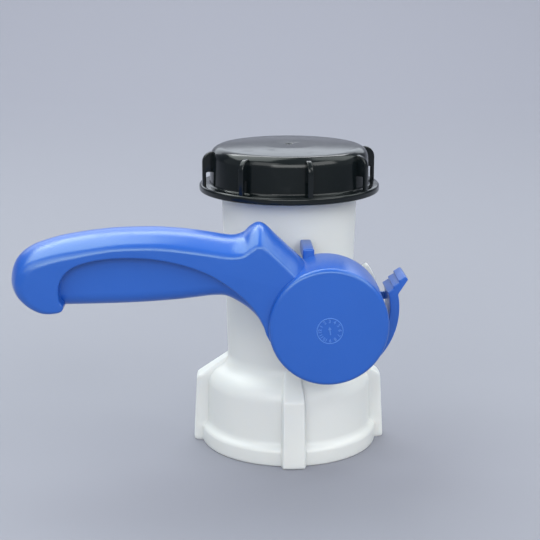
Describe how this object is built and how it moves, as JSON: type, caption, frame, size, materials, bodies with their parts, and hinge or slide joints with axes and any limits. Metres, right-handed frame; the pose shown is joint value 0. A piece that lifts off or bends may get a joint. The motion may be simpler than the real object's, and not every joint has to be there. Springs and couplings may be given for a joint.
{
  "type": "tank tap",
  "caption": "Plastic tank tap with a ribbed screwed foot, a side lever that turns an eccentric flap, a finger catch and a lugged screw cap on the outlet.",
  "frame": {"origin": "centre of the foot's open end, on the flow axis", "axes": "+Z along the flow from the container to the outlet, -Y towards the lever's drum, -X along the lever's grip when the tap is closed"},
  "size_m": [0.1559, 0.1119, 0.1305],
  "materials": {
    "white_plastic": "milky natural polyethylene, slightly translucent, satin moulded skin",
    "blue_plastic": "mid blue moulded plastic with a soft satin sheen",
    "black_plastic": "black moulded plastic with a glossy skin",
    "dark_plastic": "dark grey glass-filled plastic",
    "rubber": "black sealing rubber",
    "liner": "pale foamed sealing disc",
    "steel": "plain stainless steel"
  },
  "bodies": {
    "body": {"valve_foot": "white_plastic", "valve_neck": "white_plastic", "seat_ring": "rubber", "spindle_bush": "dark_plastic", "thrust_washer": "steel", "tank_gasket": "rubber"},
    "lever": {"lever": "blue_plastic", "spindle": "dark_plastic", "flap": "white_plastic", "flap_screws": "steel", "inner_o_ring": "rubber", "outer_o_ring": "rubber", "spindle_circlip": "steel", "lever_snap_ring": "steel", "catch_pin": "steel"},
    "catch": {"catch": "blue_plastic"},
    "cap_lift": {"cap_liner": "liner"},
    "cap": {"outlet_cap": "black_plastic"}
  },
  "joints": [
    {"name": "lever_turn", "type": "hinge", "parent": "body", "child": "lever", "pos_m": [0.0114, 0, 0.0698], "axis": [0, 1, 0], "range_deg": [0, 90]},
    {"name": "catch_swing", "type": "hinge", "parent": "lever", "child": "catch", "pos_m": [0.0223, -0.038, 0.05424], "axis": [0, 1, 0], "range_deg": [-5, 8], "stiffness_Nm_per_rad": 0.2},
    {"name": "cap_rise", "type": "slide", "parent": "body", "child": "cap_lift", "axis": [0, 0, 1], "range_m": [0, 0.0121]},
    {"name": "cap_turn", "type": "hinge", "parent": "cap_lift", "child": "cap", "pos_m": [0, 0, 0.12], "axis": [0, 0, 1], "range_deg": [0, 720]}
  ],
  "couplings": [
    {"joint": "cap_rise", "follows": "cap_turn", "m_per_rad": 0.00095493}
  ]
}
